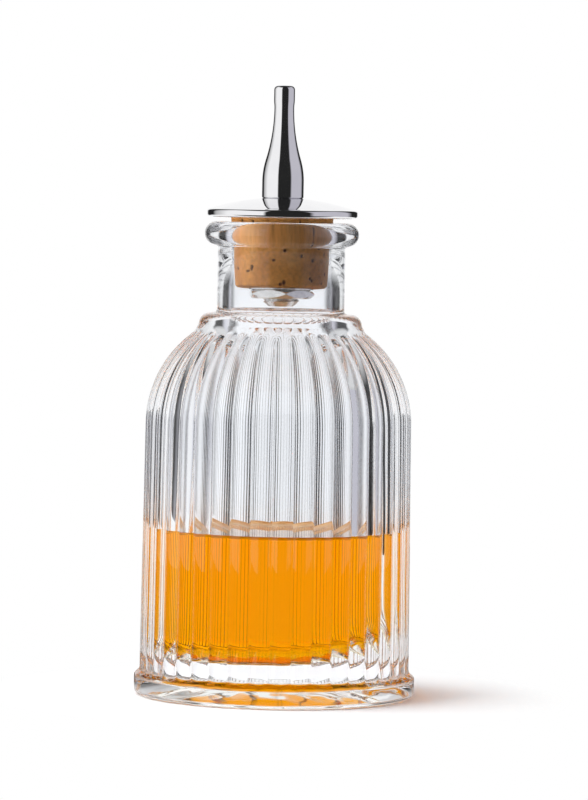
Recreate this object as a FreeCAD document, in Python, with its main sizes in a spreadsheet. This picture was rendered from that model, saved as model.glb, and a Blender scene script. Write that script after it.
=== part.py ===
"""A bitters bottle with a dasher top.

A reeded glass bottle holds amber liquid. Its cork carries a polished metal disc and spout, which a hollow stem,
a washer and a thin nut clamp to the cork. Millimetres, Z up, with the origin under the middle of the foot.
"""

import FreeCAD, Part
import math
import os
from collections import namedtuple
from types import SimpleNamespace

import Sketcher

# Driving sizes: name, value and meaning. Lengths are in millimetres and angles in degrees.
SIZES = (
    # Glass, outside
    ("foot_radius", 30.0, "radius of the glass foot"),
    ("foot_height", 5.2, "height of the foot"),
    ("foot_under_round", 2.6, "rounding under the foot's edge"),
    ("foot_top_round", 1.5, "rounding over the foot's edge"),
    ("stand_width", 4.4, "width of the flat ring that the foot stands on"),
    ("kick_depth", 1.2, "depth of the hollow under the foot"),
    ("foot_step", 1.15, "width by which the foot stands out past the reeds' crests"),
    ("wall_lean", 0.45, "amount by which the wall leans in between the foot and the shoulder"),
    ("shoulder_height", 58.0, "height at which the wall turns into the shoulder"),
    ("shoulder_centre", 4.4, "distance from the axis to the middle of the shoulder's curve"),
    ("reed_count", 40, "number of reeds round the bottle"),
    ("reed_depth", 0.8, "depth of the valleys between the reeds at the foot"),
    ("reed_sink", 1.5, "depth to which the reeds' ends run into the foot"),
    ("ring_width", 5.2, "width of the ring at the neck, past the neck"),
    ("ring_lean", 1.5, "amount by which the ring's side leans in"),
    ("ring_side_rise", 4.2, "height of the ring's leaning side"),
    ("ring_top_round", 2.3, "rounding over the ring's edge"),
    ("ring_sink", 1.9, "depth to which the ring runs into the shoulder"),
    ("ring_cover", 1.0, "width by which the ring covers the reeds' upper ends"),
    ("neck_radius", 13.6, "outer radius of the neck"),
    ("neck_length", 13.5, "length of the neck between the ring and the lip"),
    ("neck_root_round", 0.9, "rounding between the ring and the neck"),
    ("lip_height", 5.1, "height of the rolled lip"),
    ("lip_ledge", 0.3, "width of the flat under the lip"),
    # Glass, inside
    ("wall_thickness", 6.6, "thickness of the wall over the reeds' crests"),
    ("floor_thickness", 9.5, "thickness of the glass floor"),
    ("floor_round", 5.0, "rounding between the floor and the wall"),
    ("neck_wall", 2.75, "thickness of the neck"),
    ("bore_root_round", 5.0, "rounding between the shoulder and the neck's bore"),
    ("mouth_round", 0.6, "rounding at the mouth's edge"),
    # Liquid
    ("fill_depth", 24.3, "depth of the liquid"),
    ("liquid_gap", 0.05, "room between the liquid and the glass"),
    # Cork
    ("cork_length", 14.2, "length of the cork"),
    ("cork_taper_share", 0.081, "change of the cork's radius along its length"),
    ("cork_edge", 0.4, "bevel on the cork's lower edge"),
    ("cork_clearance", 0.06, "room between the cork and the mouth"),
    # Disc
    ("cap_gap", 0.95, "room between the lip and the disc"),
    ("disc_radius", 16.15, "radius of the disc"),
    ("rim_height", 1.75, "height of the disc's rim"),
    ("rim_round", 0.6, "rounding on the rim's edges"),
    ("dome_round", 48.7, "radius of the disc's dome"),
    ("seat_margin", 0.15, "width of the flat seat round the spout's base"),
    # Spout
    ("spout_base_radius", 4.48, "radius of the spout's base"),
    ("spout_base_height", 3.6, "height of the spout's straight base"),
    ("spout_base_edge", 0.2, "bevel under the spout's base"),
    ("taper_length", 15.7, "height over which the spout narrows"),
    ("taper_bulge_share", 0.3, "share of the taper that curves outward"),
    ("spout_waist_radius", 2.13, "radius of the spout's narrowest place"),
    ("tip_flare_length", 1.6, "height over which the spout widens to its tip"),
    ("tip_radius", 2.24, "radius of the spout's tip"),
    ("tip_length", 2.2, "height of the straight tip"),
    ("tip_round", 0.95, "rounding over the tip's edge"),
    ("dash_hole_radius", 1.0, "radius of the dash hole"),
    ("dash_hole_length", 3.2, "length of the dash hole"),
    ("spigot_reach", 5.5, "length of the spout's spigot inside the stem"),
    ("spigot_wall", 1.45, "wall of the spigot"),
    # Stem
    ("stem_radius", 4.0, "radius of the stem"),
    ("stem_wall", 0.95, "wall of the stem round the spigot"),
    ("socket_spare", 0.5, "room under the spigot in its socket"),
    ("stem_ledge", 1.0, "ledge under the spigot in its socket"),
    ("stem_tail", 2.0, "length of the stem below the nut"),
    ("stem_edge", 1.35, "bevel on the stem's lower end"),
    ("thread_gap", 0.05, "room round a threaded or turning fit"),
    # Washer and nut
    ("washer_radius", 6.9, "radius of the washer"),
    ("washer_thickness", 0.5, "thickness of the washer"),
    ("nut_across", 13.0, "width of the nut across its flats"),
    ("nut_thickness", 2.3, "thickness of the nut"),
    ("nut_face_inset", 0.3, "inset of the nut's round faces from its flats"),
    ("nut_bevel", 0.75, "drop of the bevel past the nut's corners"),
    ("nut_angle", 35.7, "angle from X to one corner of the nut"),
    # Making
    ("overrun", 1.0, "length by which a cut runs past the solid"),
)

REED_STATIONS = 7  # sections through which the reeds are drawn over the shoulder
NUT_CORNERS = 6
FULL_TURN = 360
HALF_TURN = 180


class Size:
    """A size with its number and the cell formula that drives it."""

    def __init__(self, number, formula):
        self.number = number
        self.formula = formula

    def joined(self, sign, other, work):
        other = as_size(other)
        return Size(work(self.number, other.number), f"({self.formula} {sign} {other.formula})")

    def __add__(self, other):
        return self.joined("+", other, lambda first, second: first + second)

    def __sub__(self, other):
        return self.joined("-", other, lambda first, second: first - second)

    def __mul__(self, other):
        return self.joined("*", other, lambda first, second: first * second)

    def __truediv__(self, other):
        return self.joined("/", other, lambda first, second: first / second)


def as_size(value):
    return value if isinstance(value, Size) else Size(value, str(value))


def root(value):
    return Size(math.sqrt(value.number), f"sqrt({value.formula})")


def degrees(value):
    return Size(value.number, f"({value.formula} * 1 deg)")


def cosine(angle):
    return Size(math.cos(math.radians(angle.number)), f"cos({angle.formula})")


def sine(angle):
    return Size(math.sin(math.radians(angle.number)), f"sin({angle.formula})")


def arc_cosine(value):
    return Size(math.degrees(math.acos(value.number)), f"acos({value.formula})")


def other_leg(slope, leg):
    """The second short side of a right triangle."""
    return root(slope * slope - leg * leg)


ZERO = Size(0, "0")

# A corner of an outline. The edge that leaves it is straight, or an arc of the given radius.
Corner = namedtuple("Corner", "across up radius turn", defaults=(None, None))
LEFT = 1
RIGHT = -1

doc = FreeCAD.newDocument("bitters_bottle")


def write_sizes():
    """Fills the sheet and returns each cell as a Size."""
    sheet = doc.addObject("Spreadsheet::Sheet", "Sizes")
    cells = {}
    for row, (name, value, meaning) in enumerate(SIZES, start=1):
        sheet.set(f"A{row}", name)
        sheet.set(f"B{row}", str(value))
        sheet.set(f"C{row}", meaning)
        sheet.setAlias(f"B{row}", name)
        cells[name] = Size(value, f"Sizes.{name}")
    doc.recompute()
    return SimpleNamespace(**cells)


def origin_feature(body, role):
    return next(feature for feature in body.Origin.OriginFeatures if feature.Role == role)


def new_body(name):
    body = doc.addObject("PartDesign::Body", name)
    body.Label = name
    return body


def new_sketch(body, name, plane, height=ZERO):
    sketch = body.newObject("Sketcher::SketchObject", name)
    sketch.AttachmentSupport = [(origin_feature(body, plane), "")]
    sketch.MapMode = "FlatFace"
    if height is not ZERO:
        sketch.setExpression("AttachmentOffset.Base.z", height.formula)
    return sketch


def arc_between(start, end, radius, turn):
    """The arc of under a half circle from start to end that turns to the given side."""
    chord = end - start
    side = FreeCAD.Vector(-chord.y, chord.x, 0).normalize() * turn
    middle = (start + end) / 2
    centre = middle + side * math.sqrt(radius**2 - (chord.Length / 2) ** 2)
    first, last = (start, end) if turn == LEFT else (end, start)
    angles = [math.atan2(point.y - centre.y, point.x - centre.x) for point in (first, last)]
    return Part.ArcOfCircle(Part.Circle(centre, FreeCAD.Vector(0, 0, 1), radius), *angles)


def place_point(sketch, kind, axis, edge, end, size):
    """Ties one coordinate of a point to its size, or the point to an axis."""
    if size is ZERO:
        sketch.addConstraint(Sketcher.Constraint("PointOnObject", edge, end, axis))
        return
    index = sketch.addConstraint(Sketcher.Constraint(kind, -1, 1, edge, end, size.number))
    sketch.setExpression(f"Constraints[{index}]", size.formula)


def draw_outline(sketch, corners):
    """Draws a closed outline and ties every corner and radius to its size."""
    ends = []
    for corner, following in zip(corners, corners[1:] + corners[:1]):
        start = FreeCAD.Vector(corner.across.number, corner.up.number, 0)
        end = FreeCAD.Vector(following.across.number, following.up.number, 0)
        if corner.radius is None:
            edge = sketch.addGeometry(Part.LineSegment(start, end), False)
        else:
            edge = sketch.addGeometry(arc_between(start, end, corner.radius.number, corner.turn), False)
        ends.append((edge, 2, 1) if corner.turn == RIGHT else (edge, 1, 2))
    for corner, here, before in zip(corners, ends, ends[-1:] + ends[:-1]):
        edge, start, _ = here
        sketch.addConstraint(Sketcher.Constraint("Coincident", before[0], before[2], edge, start))
        place_point(sketch, "DistanceX", -2, edge, start, corner.across)
        place_point(sketch, "DistanceY", -1, edge, start, corner.up)
        if corner.radius is not None:
            index = sketch.addConstraint(Sketcher.Constraint("Radius", edge, corner.radius.number))
            sketch.setExpression(f"Constraints[{index}]", corner.radius.formula)


def draw_circle(sketch, radius):
    """A circle round the sketch's origin."""
    circle = Part.Circle(FreeCAD.Vector(0, 0, 0), FreeCAD.Vector(0, 0, 1), radius.number)
    edge = sketch.addGeometry(circle, False)
    sketch.addConstraint(Sketcher.Constraint("Coincident", edge, 3, -1, 1))
    index = sketch.addConstraint(Sketcher.Constraint("Radius", edge, radius.number))
    sketch.setExpression(f"Constraints[{index}]", radius.formula)


def turned(body, name, corners):
    """A solid of revolution about Z from an outline of radii and heights."""
    sketch = new_sketch(body, f"{name}_outline", "XZ_Plane")
    draw_outline(sketch, corners)
    solid = body.newObject("PartDesign::Revolution", f"{name}_turned")
    solid.Profile = sketch
    solid.ReferenceAxis = (sketch, ["V_Axis"])
    solid.Angle = FULL_TURN
    doc.recompute()
    return solid


def turned_cut(body, name, outlines):
    """Cuts outlines turned about Z out of the body."""
    before = body.Shape.Volume
    sketch = new_sketch(body, f"{name}_outline", "XZ_Plane")
    for corners in outlines:
        draw_outline(sketch, corners)
    cut = body.newObject("PartDesign::Groove", f"{name}_cut")
    cut.Profile = sketch
    cut.ReferenceAxis = (sketch, ["V_Axis"])
    cut.Angle = FULL_TURN
    doc.recompute()
    if body.Shape.Volume >= before:
        raise RuntimeError(f"{name} cuts nothing")


size = write_sizes()

# Glass: heights and radii that several outlines share
wall_foot_radius = size.foot_radius - size.foot_step
wall_shoulder_radius = wall_foot_radius - size.wall_lean
shoulder_round = wall_shoulder_radius - size.shoulder_centre
ring_foot_radius = size.neck_radius + size.ring_width
reed_end_radius = ring_foot_radius - size.ring_cover
reed_end_rise = other_leg(shoulder_round, reed_end_radius - size.shoulder_centre)
ring_base_z = size.shoulder_height + reed_end_rise - size.ring_sink
ring_top_z = ring_base_z + size.ring_side_rise + size.ring_top_round
lip_under_z = ring_top_z + size.neck_length
lip_top_z = lip_under_z + size.lip_height
bore_radius = size.neck_radius - size.neck_wall
cavity_radius = wall_shoulder_radius - size.wall_thickness
cavity_shoulder_round = shoulder_round - size.wall_thickness

# Stopper: heights from the lip up, then down the stem
disc_under_z = lip_top_z + size.cap_gap
cork_bottom_z = disc_under_z - size.cork_length
washer_bottom_z = cork_bottom_z - size.washer_thickness
nut_bottom_z = washer_bottom_z - size.nut_thickness
stem_bottom_z = nut_bottom_z - size.stem_tail
rim_top_z = disc_under_z + size.rim_height
seat_radius = size.spout_base_radius + size.seat_margin
dome_radius = size.disc_radius - size.rim_round
dome_centre_z = rim_top_z - other_leg(size.dome_round, dome_radius)
seat_z = dome_centre_z + other_leg(size.dome_round, seat_radius)
spigot_radius = size.stem_radius - size.stem_wall - size.thread_gap
spigot_hole_radius = spigot_radius + size.thread_gap
spout_bore_radius = spigot_radius - size.spigot_wall
stem_bore_radius = spigot_hole_radius - size.stem_ledge
stem_hole_radius = size.stem_radius + size.thread_gap


def glass_core_corners():
    """The foot, a column inside the reeds, the neck's ring, the neck and the lip."""
    kick_radius = size.foot_radius - size.foot_under_round - size.stand_width
    kick_round = (kick_radius * kick_radius + size.kick_depth * size.kick_depth) / (size.kick_depth * 2)
    ring_top_radius = ring_foot_radius - size.ring_lean
    lip_round = size.lip_height / 2
    lip_centre = size.neck_radius + size.lip_ledge
    return [
        Corner(ZERO, size.kick_depth, kick_round, RIGHT),
        Corner(kick_radius, ZERO),
        Corner(size.foot_radius - size.foot_under_round, ZERO, size.foot_under_round, LEFT),
        Corner(size.foot_radius, size.foot_under_round),
        Corner(size.foot_radius, size.foot_height - size.foot_top_round, size.foot_top_round, LEFT),
        Corner(size.foot_radius - size.foot_top_round, size.foot_height),
        Corner(size.neck_radius, size.foot_height),
        Corner(size.neck_radius, ring_base_z),
        Corner(ring_foot_radius, ring_base_z),
        Corner(ring_top_radius, ring_base_z + size.ring_side_rise, size.ring_top_round, LEFT),
        Corner(ring_top_radius - size.ring_top_round, ring_top_z),
        Corner(size.neck_radius + size.neck_root_round, ring_top_z, size.neck_root_round, RIGHT),
        Corner(size.neck_radius, ring_top_z + size.neck_root_round),
        Corner(size.neck_radius, lip_under_z),
        Corner(lip_centre, lip_under_z, lip_round, LEFT),
        Corner(lip_centre + lip_round, lip_under_z + lip_round, lip_round, LEFT),
        Corner(lip_centre, lip_top_z),
        Corner(ZERO, lip_top_z),
    ]


def cavity_corners():
    """The hollow of the bottle, up through the neck and out of the mouth."""
    root_centre = bore_radius + size.bore_root_round
    reach = cavity_shoulder_round + size.bore_root_round
    root_rise = other_leg(reach, root_centre - size.shoulder_centre)
    meet_share = cavity_shoulder_round / reach
    meet_radius = size.shoulder_centre + (root_centre - size.shoulder_centre) * meet_share
    meet_z = size.shoulder_height + root_rise * meet_share
    top_z = lip_top_z + size.overrun
    mouth_radius = bore_radius + size.mouth_round
    return [
        Corner(ZERO, size.floor_thickness),
        Corner(cavity_radius - size.floor_round, size.floor_thickness, size.floor_round, LEFT),
        Corner(cavity_radius, size.floor_thickness + size.floor_round),
        Corner(cavity_radius, size.shoulder_height, cavity_shoulder_round, LEFT),
        Corner(meet_radius, meet_z, size.bore_root_round, RIGHT),
        Corner(bore_radius, size.shoulder_height + root_rise),
        Corner(bore_radius, lip_top_z - size.mouth_round, size.mouth_round, RIGHT),
        Corner(mouth_radius, lip_top_z),
        Corner(mouth_radius, top_z),
        Corner(ZERO, top_z),
    ]


def reed_section(body, name, crest_radius, height):
    """The slice of glass under one reed at one height: two radial sides and a rounded crest."""
    half_pitch = degrees(as_size(HALF_TURN) / size.reed_count)
    valley_radius = crest_radius - size.reed_depth * crest_radius / wall_foot_radius
    valley_x = valley_radius * cosine(half_pitch)
    valley_y = valley_radius * sine(half_pitch)
    inner_x = bore_radius * cosine(half_pitch)
    inner_y = bore_radius * sine(half_pitch)
    bulge = crest_radius - valley_x
    crest_round = (valley_y * valley_y + bulge * bulge) / (bulge * 2)
    sketch = new_sketch(body, name, "XY_Plane", height)
    corners = [
        Corner(inner_x, ZERO - inner_y),
        Corner(valley_x, ZERO - valley_y, crest_round, LEFT),
        Corner(valley_x, valley_y),
        Corner(inner_x, inner_y),
    ]
    draw_outline(sketch, corners)
    return sketch


def lofted(body, name, sections, straight):
    loft = body.newObject("PartDesign::AdditiveLoft", name)
    loft.Profile = sections[0]
    loft.Sections = sections[1:]
    loft.Ruled = straight
    doc.recompute()
    return loft


def reeds(body):
    """One reed up the wall and over the shoulder, repeated round the bottle."""
    foot_end = reed_section(body, "reed_foot", wall_foot_radius, size.foot_height - size.reed_sink)
    wall_end = reed_section(body, "reed_wall", wall_shoulder_radius, size.shoulder_height)
    wall = lofted(body, "reed_on_wall", [foot_end, wall_end], True)
    sweep = arc_cosine((reed_end_radius - size.shoulder_centre) / shoulder_round)
    stations = []
    for station in range(REED_STATIONS):
        angle = sweep * station / (REED_STATIONS - 1)
        crest_radius = size.shoulder_centre + shoulder_round * cosine(angle)
        height = size.shoulder_height + shoulder_round * sine(angle)
        stations.append(reed_section(body, f"reed_shoulder_{station}", crest_radius, height))
    shoulder = lofted(body, "reed_on_shoulder", stations, False)
    pattern = body.newObject("PartDesign::PolarPattern", "reeds")
    pattern.Originals = [wall, shoulder]
    pattern.Axis = (origin_feature(body, "Z_Axis"), [""])
    pattern.Angle = FULL_TURN
    pattern.setExpression("Occurrences", size.reed_count.formula)
    body.Tip = pattern
    doc.recompute()


def glass_bottle():
    body = new_body("glass_bottle")
    turned(body, "glass_core", glass_core_corners())
    reeds(body)
    turned_cut(body, "cavity", [cavity_corners()])
    return body


def bitters_liquid():
    """The liquid, with a flat surface and the shape of the hollow that it fills."""
    body = new_body("bitters_liquid")
    liquid_radius = cavity_radius - size.liquid_gap
    bottom_z = size.floor_thickness + size.liquid_gap
    corner_round = size.floor_round - size.liquid_gap
    surface_z = size.floor_thickness + size.fill_depth
    corners = [
        Corner(ZERO, bottom_z),
        Corner(cavity_radius - size.floor_round, bottom_z, corner_round, LEFT),
        Corner(liquid_radius, size.floor_thickness + size.floor_round),
        Corner(liquid_radius, surface_z),
        Corner(ZERO, surface_z),
    ]
    turned(body, "liquid", corners)
    return body


def cork_stopper():
    """A tapered cork that is tight at the mouth's edge and has a hole for the stem."""
    body = new_body("cork_stopper")
    mouth_z = lip_top_z - size.mouth_round
    mouth_fit_radius = bore_radius - size.cork_clearance
    top_radius = mouth_fit_radius + size.cork_taper_share * (disc_under_z - mouth_z)
    bevel_z = cork_bottom_z + size.cork_edge
    bevel_radius = mouth_fit_radius - size.cork_taper_share * (mouth_z - bevel_z)
    corners = [
        Corner(stem_hole_radius, cork_bottom_z),
        Corner(bevel_radius - size.cork_edge, cork_bottom_z),
        Corner(bevel_radius, bevel_z),
        Corner(top_radius, disc_under_z),
        Corner(stem_hole_radius, disc_under_z),
    ]
    turned(body, "cork", corners)
    return body


def cap_disc():
    """A domed disc with a rounded rim, a flat seat for the spout and a hole for its spigot."""
    body = new_body("cap_disc")
    corners = [
        Corner(spigot_hole_radius, disc_under_z),
        Corner(dome_radius, disc_under_z, size.rim_round, LEFT),
        Corner(size.disc_radius, disc_under_z + size.rim_round),
        Corner(size.disc_radius, rim_top_z - size.rim_round, size.rim_round, LEFT),
        Corner(dome_radius, rim_top_z, size.dome_round, LEFT),
        Corner(seat_radius, seat_z),
        Corner(spigot_hole_radius, seat_z),
    ]
    turned(body, "disc", corners)
    return body


def dasher_spout():
    """A slender spout with a flowing taper, a bore that ends in the dash hole, and a spigot."""
    body = new_body("dasher_spout")
    taper_base_z = seat_z + size.spout_base_height
    waist_z = taper_base_z + size.taper_length
    narrowing = size.spout_base_radius - size.spout_waist_radius
    both_rounds = (size.taper_length * size.taper_length + narrowing * narrowing) / (narrowing * 2)
    bulge_round = both_rounds * size.taper_bulge_share
    hollow_round = both_rounds - bulge_round
    turn_radius = size.spout_base_radius - narrowing * size.taper_bulge_share
    turn_z = taper_base_z + size.taper_length * size.taper_bulge_share
    tip_base_z = waist_z + size.tip_flare_length
    tip_top_z = tip_base_z + size.tip_length
    top_z = tip_top_z + size.tip_round
    hole_bottom_z = top_z - size.dash_hole_length
    hole_cone_z = hole_bottom_z - spout_bore_radius
    spigot_bottom_z = disc_under_z - size.spigot_reach
    corners = [
        Corner(spout_bore_radius, spigot_bottom_z),
        Corner(spigot_radius, spigot_bottom_z),
        Corner(spigot_radius, seat_z),
        Corner(size.spout_base_radius - size.spout_base_edge, seat_z),
        Corner(size.spout_base_radius, seat_z + size.spout_base_edge),
        Corner(size.spout_base_radius, taper_base_z, bulge_round, LEFT),
        Corner(turn_radius, turn_z, hollow_round, RIGHT),
        Corner(size.spout_waist_radius, waist_z),
        Corner(size.tip_radius, tip_base_z),
        Corner(size.tip_radius, tip_top_z, size.tip_round, LEFT),
        Corner(size.tip_radius - size.tip_round, top_z),
        Corner(size.dash_hole_radius, top_z),
        Corner(size.dash_hole_radius, hole_bottom_z),
        Corner(spout_bore_radius, hole_cone_z),
    ]
    turned(body, "spout", corners)
    return body


def hollow_stem():
    """A tube under the disc, with a socket for the spigot and a bevelled lower end."""
    body = new_body("hollow_stem")
    socket_z = disc_under_z - size.spigot_reach - size.socket_spare
    corners = [
        Corner(stem_bore_radius, stem_bottom_z),
        Corner(size.stem_radius - size.stem_edge, stem_bottom_z),
        Corner(size.stem_radius, stem_bottom_z + size.stem_edge),
        Corner(size.stem_radius, disc_under_z),
        Corner(spigot_hole_radius, disc_under_z),
        Corner(spigot_hole_radius, socket_z),
        Corner(stem_bore_radius, socket_z),
    ]
    turned(body, "stem", corners)
    return body


def padded(body, name, sketch, height):
    pad = body.newObject("PartDesign::Pad", name)
    pad.Profile = sketch
    pad.setExpression("Length", height.formula)
    doc.recompute()


def stem_washer():
    body = new_body("stem_washer")
    sketch = new_sketch(body, "washer_outline", "XY_Plane", washer_bottom_z)
    draw_circle(sketch, size.washer_radius)
    draw_circle(sketch, stem_hole_radius)
    padded(body, "washer_pad", sketch, size.washer_thickness)
    return body


def hex_nut():
    """A thin nut whose corners are bevelled above and below."""
    body = new_body("hex_nut")
    corner_radius = size.nut_across / root(as_size(3))
    corners = []
    for corner in range(NUT_CORNERS):
        angle = degrees(size.nut_angle + FULL_TURN / NUT_CORNERS * corner)
        corners.append(Corner(corner_radius * cosine(angle), corner_radius * sine(angle)))
    sketch = new_sketch(body, "nut_outline", "XY_Plane", nut_bottom_z)
    draw_outline(sketch, corners)
    draw_circle(sketch, stem_hole_radius)
    padded(body, "nut_pad", sketch, size.nut_thickness)
    face_radius = size.nut_across / 2 - size.nut_face_inset
    outside_radius = corner_radius + size.overrun
    upper = [
        Corner(face_radius, washer_bottom_z),
        Corner(outside_radius, washer_bottom_z - size.nut_bevel),
        Corner(outside_radius, washer_bottom_z),
    ]
    lower = [
        Corner(face_radius, nut_bottom_z),
        Corner(outside_radius, nut_bottom_z),
        Corner(outside_radius, nut_bottom_z + size.nut_bevel),
    ]
    turned_cut(body, "nut_bevels", [upper, lower])
    return body


def check_document():
    for feature in doc.Objects:
        if "Invalid" in feature.State or "Error" in feature.State:
            raise RuntimeError(f"{feature.Name} failed: {feature.State}")


def write_part(body):
    shape = body.Shape
    if shape.isNull() or not shape.isValid() or len(shape.Solids) != 1:
        raise RuntimeError(f"{body.Label} is not one sound solid")
    shape.exportStep(f"parts/{body.Label}.step")


bodies = [
    glass_bottle(),
    bitters_liquid(),
    cork_stopper(),
    cap_disc(),
    dasher_spout(),
    hollow_stem(),
    stem_washer(),
    hex_nut(),
]
doc.recompute()
check_document()
os.makedirs("parts", exist_ok=True)
for piece in bodies:
    write_part(piece)
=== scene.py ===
"""The bitters bottle as it looks: reeded glass, amber liquid, cork and polished metal on a white table."""

import math

import bpy
import numpy as np
from mathutils import Matrix, Vector, noise


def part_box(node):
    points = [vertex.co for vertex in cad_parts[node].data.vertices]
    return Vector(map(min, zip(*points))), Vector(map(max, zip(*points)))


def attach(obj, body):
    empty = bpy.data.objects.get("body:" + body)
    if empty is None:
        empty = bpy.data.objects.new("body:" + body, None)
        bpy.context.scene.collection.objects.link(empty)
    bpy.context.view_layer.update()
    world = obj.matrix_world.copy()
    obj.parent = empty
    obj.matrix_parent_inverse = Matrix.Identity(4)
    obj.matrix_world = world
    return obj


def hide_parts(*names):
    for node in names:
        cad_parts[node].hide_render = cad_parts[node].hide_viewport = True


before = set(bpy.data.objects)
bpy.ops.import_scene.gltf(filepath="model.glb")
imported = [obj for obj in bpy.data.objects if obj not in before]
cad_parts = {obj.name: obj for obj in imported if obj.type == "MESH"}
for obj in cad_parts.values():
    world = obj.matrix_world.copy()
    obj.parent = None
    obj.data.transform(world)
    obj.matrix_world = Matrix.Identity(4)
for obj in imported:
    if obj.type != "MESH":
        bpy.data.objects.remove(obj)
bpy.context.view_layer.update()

MM = 0.001
FULL_TURN = 2 * math.pi
FULL_CIRCLE = 360.0
HALF_TURN_SHARE = 0.5

# Directions in the plane of a profile, in degrees
DOWNWARD = -90.0
OUTWARD = 0.0
UPWARD = 90.0
INWARD = 180.0

# Places and sizes that the frame gives
_, glass_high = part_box("glass_bottle")
_, liquid_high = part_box("bitters_liquid")
cork_low, cork_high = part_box("cork_stopper")
disc_low, disc_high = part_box("cap_disc")
spout_low, spout_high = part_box("dasher_spout")
stem_low, stem_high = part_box("hollow_stem")
washer_low, washer_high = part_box("stem_washer")
nut_low, nut_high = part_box("hex_nut")
FOOT_RADIUS = glass_high.x
LIP_TOP = glass_high.z
LIQUID_SURFACE = liquid_high.z

# Glass, outside
FOOT_HEIGHT = 5.2 * MM
FOOT_UNDER_ROUND = 1.2 * MM
FOOT_TOP_ROUND = 1.5 * MM
FOOT_TOP_SWEEP = 46.0
FOOT_LUMP = 0.32 * MM
FOOT_LUMP_SIZE = 2.2 * MM
FOOT_LUMP_SEED = 7.5
STAND_WIDTH = 3.8 * MM
KICK_DEPTH = 3.4 * MM
KICK_START_SHARE = 0.03
KICK_LUMP = 0.11 * MM
KICK_LUMP_SIZE = 3.2 * MM
KICK_LUMP_SEED = 0.5
KICK_FADE_POWER = 6
WALL_FOOT_RADIUS = 28.85 * MM
WALL_SHOULDER_RADIUS = 28.4 * MM
SHOULDER_HEIGHT = 58.0 * MM
SHOULDER_CENTRE = 4.4 * MM
REED_COUNT = 40
REED_DEPTH = 0.8 * MM
REED_FILLET = 0.35 * MM
RING_FOOT_RADIUS = 19.4 * MM
RING_LEAN = 2.0 * MM
RING_SIDE_RISE = 4.2 * MM
RING_TOP_ROUND = 2.3 * MM
RING_TOP_START = 10.0
RING_SINK = 2.4 * MM
RING_COVER = 1.0 * MM
RING_FILLET = 0.3 * MM
NECK_RADIUS = 13.6 * MM
NECK_ROOT_ROUND = 0.9 * MM
LIP_HEIGHT = 5.1 * MM
LIP_LEDGE = 0.3 * MM
LIP_START = -84.0

# Glass, inside
WALL_THICKNESS = 6.6 * MM
CAVITY_SHOULDER_ROUND = 20.4 * MM
FLOOR_HEIGHT = 8.0 * MM
FLOOR_ROUND = 5.0 * MM
FLOOR_ROUND_MORE = 6.0 * MM
FLOOR_TILT_SHARE = 0.14
FLOOR_TILT_START = 2.0 * MM
FLOOR_TILT_SOFT = 3.0 * MM
FLOOR_LUMP = 0.12 * MM
FLOOR_LUMP_SIZE = 3.5 * MM
FLOOR_LUMP_SEED = 3.5
FLOOR_SHARES = (0.85, 0.68, 0.5, 0.32, 0.15, 0.03)
BORE_RADIUS = 10.85 * MM
BORE_ROOT_ROUND = 8.0 * MM
MOUTH_ROUND = 0.6 * MM
INNER_WAVES = ((0.06 * MM, 2, 9.0 * MM), (0.04 * MM, 3, -5.0 * MM))  # size, count round, length along

# Liquid
LIQUID_OVERLAP = 0.05 * MM
LIQUID_STEPS = 256
SURFACE_RAISE = 0.8 * MM
MENISCUS_RISE = 1.0 * MM
MENISCUS_WIDTH = 1.3 * MM
MENISCUS_INSETS = [inset * MM for inset in (0.15, 0.35, 0.7, 1.2, 2.0, 3.2, 5.0, 8.0, 14.0)]
FACING_UP_SHARE = 0.5

# Cork
CORK_TAPER_SHARE = 0.081
CORK_EDGE = 0.4 * MM
CORK_END_SHARES = (0.5, 0.9, 1.0)
CORK_STEPS = 320
CORK_ROWS = 72
CORK_SHARP_ANGLE = 60.0
STEM_HOLE_RADIUS = 4.05 * MM
PIT_COUNT = 90
PIT_SEED = 7
PIT_WIDTHS = (0.14 * MM, 0.34 * MM)
PIT_HEIGHTS = (0.14 * MM, 0.5 * MM)
PIT_DEPTHS = (0.12 * MM, 0.45 * MM)
PIT_POWER = 1.5

# Metal head
DISC_RADIUS = 16.15 * MM
RIM_HEIGHT = 1.75 * MM
RIM_ROUND = 0.6 * MM
DOME_ROUND = 48.7 * MM
SEAT_RADIUS = 4.63 * MM
SPIGOT_HOLE_RADIUS = 3.05 * MM
SPIGOT_RADIUS = 3.0 * MM
SPOUT_BORE_RADIUS = 1.55 * MM
SPOUT_BASE_RADIUS = 4.48 * MM
SPOUT_BASE_HEIGHT = 3.6 * MM
SPOUT_BASE_EDGE = 0.35 * MM
TAPER_LENGTH = 15.7 * MM
TAPER_BULGE_SHARE = 0.3
SPOUT_WAIST_RADIUS = 2.13 * MM
TIP_RADIUS = 2.24 * MM
TIP_FLARE = 1.6 * MM
TIP_LENGTH = 2.2 * MM
TIP_ROUND = 0.95 * MM
DASH_HOLE_RADIUS = 1.0 * MM
DASH_HOLE_LENGTH = 3.2 * MM
HEAD_STEPS = 256

# Stem, washer and nut
STEM_RADIUS = 4.0 * MM
STEM_EDGE = 1.35 * MM
STEM_BORE_RADIUS = 2.05 * MM
THREAD_PITCH = 1.0 * MM
THREAD_DEPTH = 0.5 * MM
THREAD_LENGTH = 9.0 * MM
THREAD_ROW = 0.1 * MM
STEM_STEPS = 96
WASHER_EDGE = 0.12 * MM
NUT_ACROSS = 13.0 * MM
NUT_BEVEL = 1.5 * MM
NUT_FACE_INSET = 0.3 * MM
NUT_ANGLE = 35.7
NUT_SIDES = 6
NUT_STEPS = 240
NUT_OUTSIDE_MORE = 0.5 * MM
NUT_HOLE_BEVEL = 0.35 * MM
NUT_SHARP_ANGLE = 10.0
SHARP_ANGLE = 30.0

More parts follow.
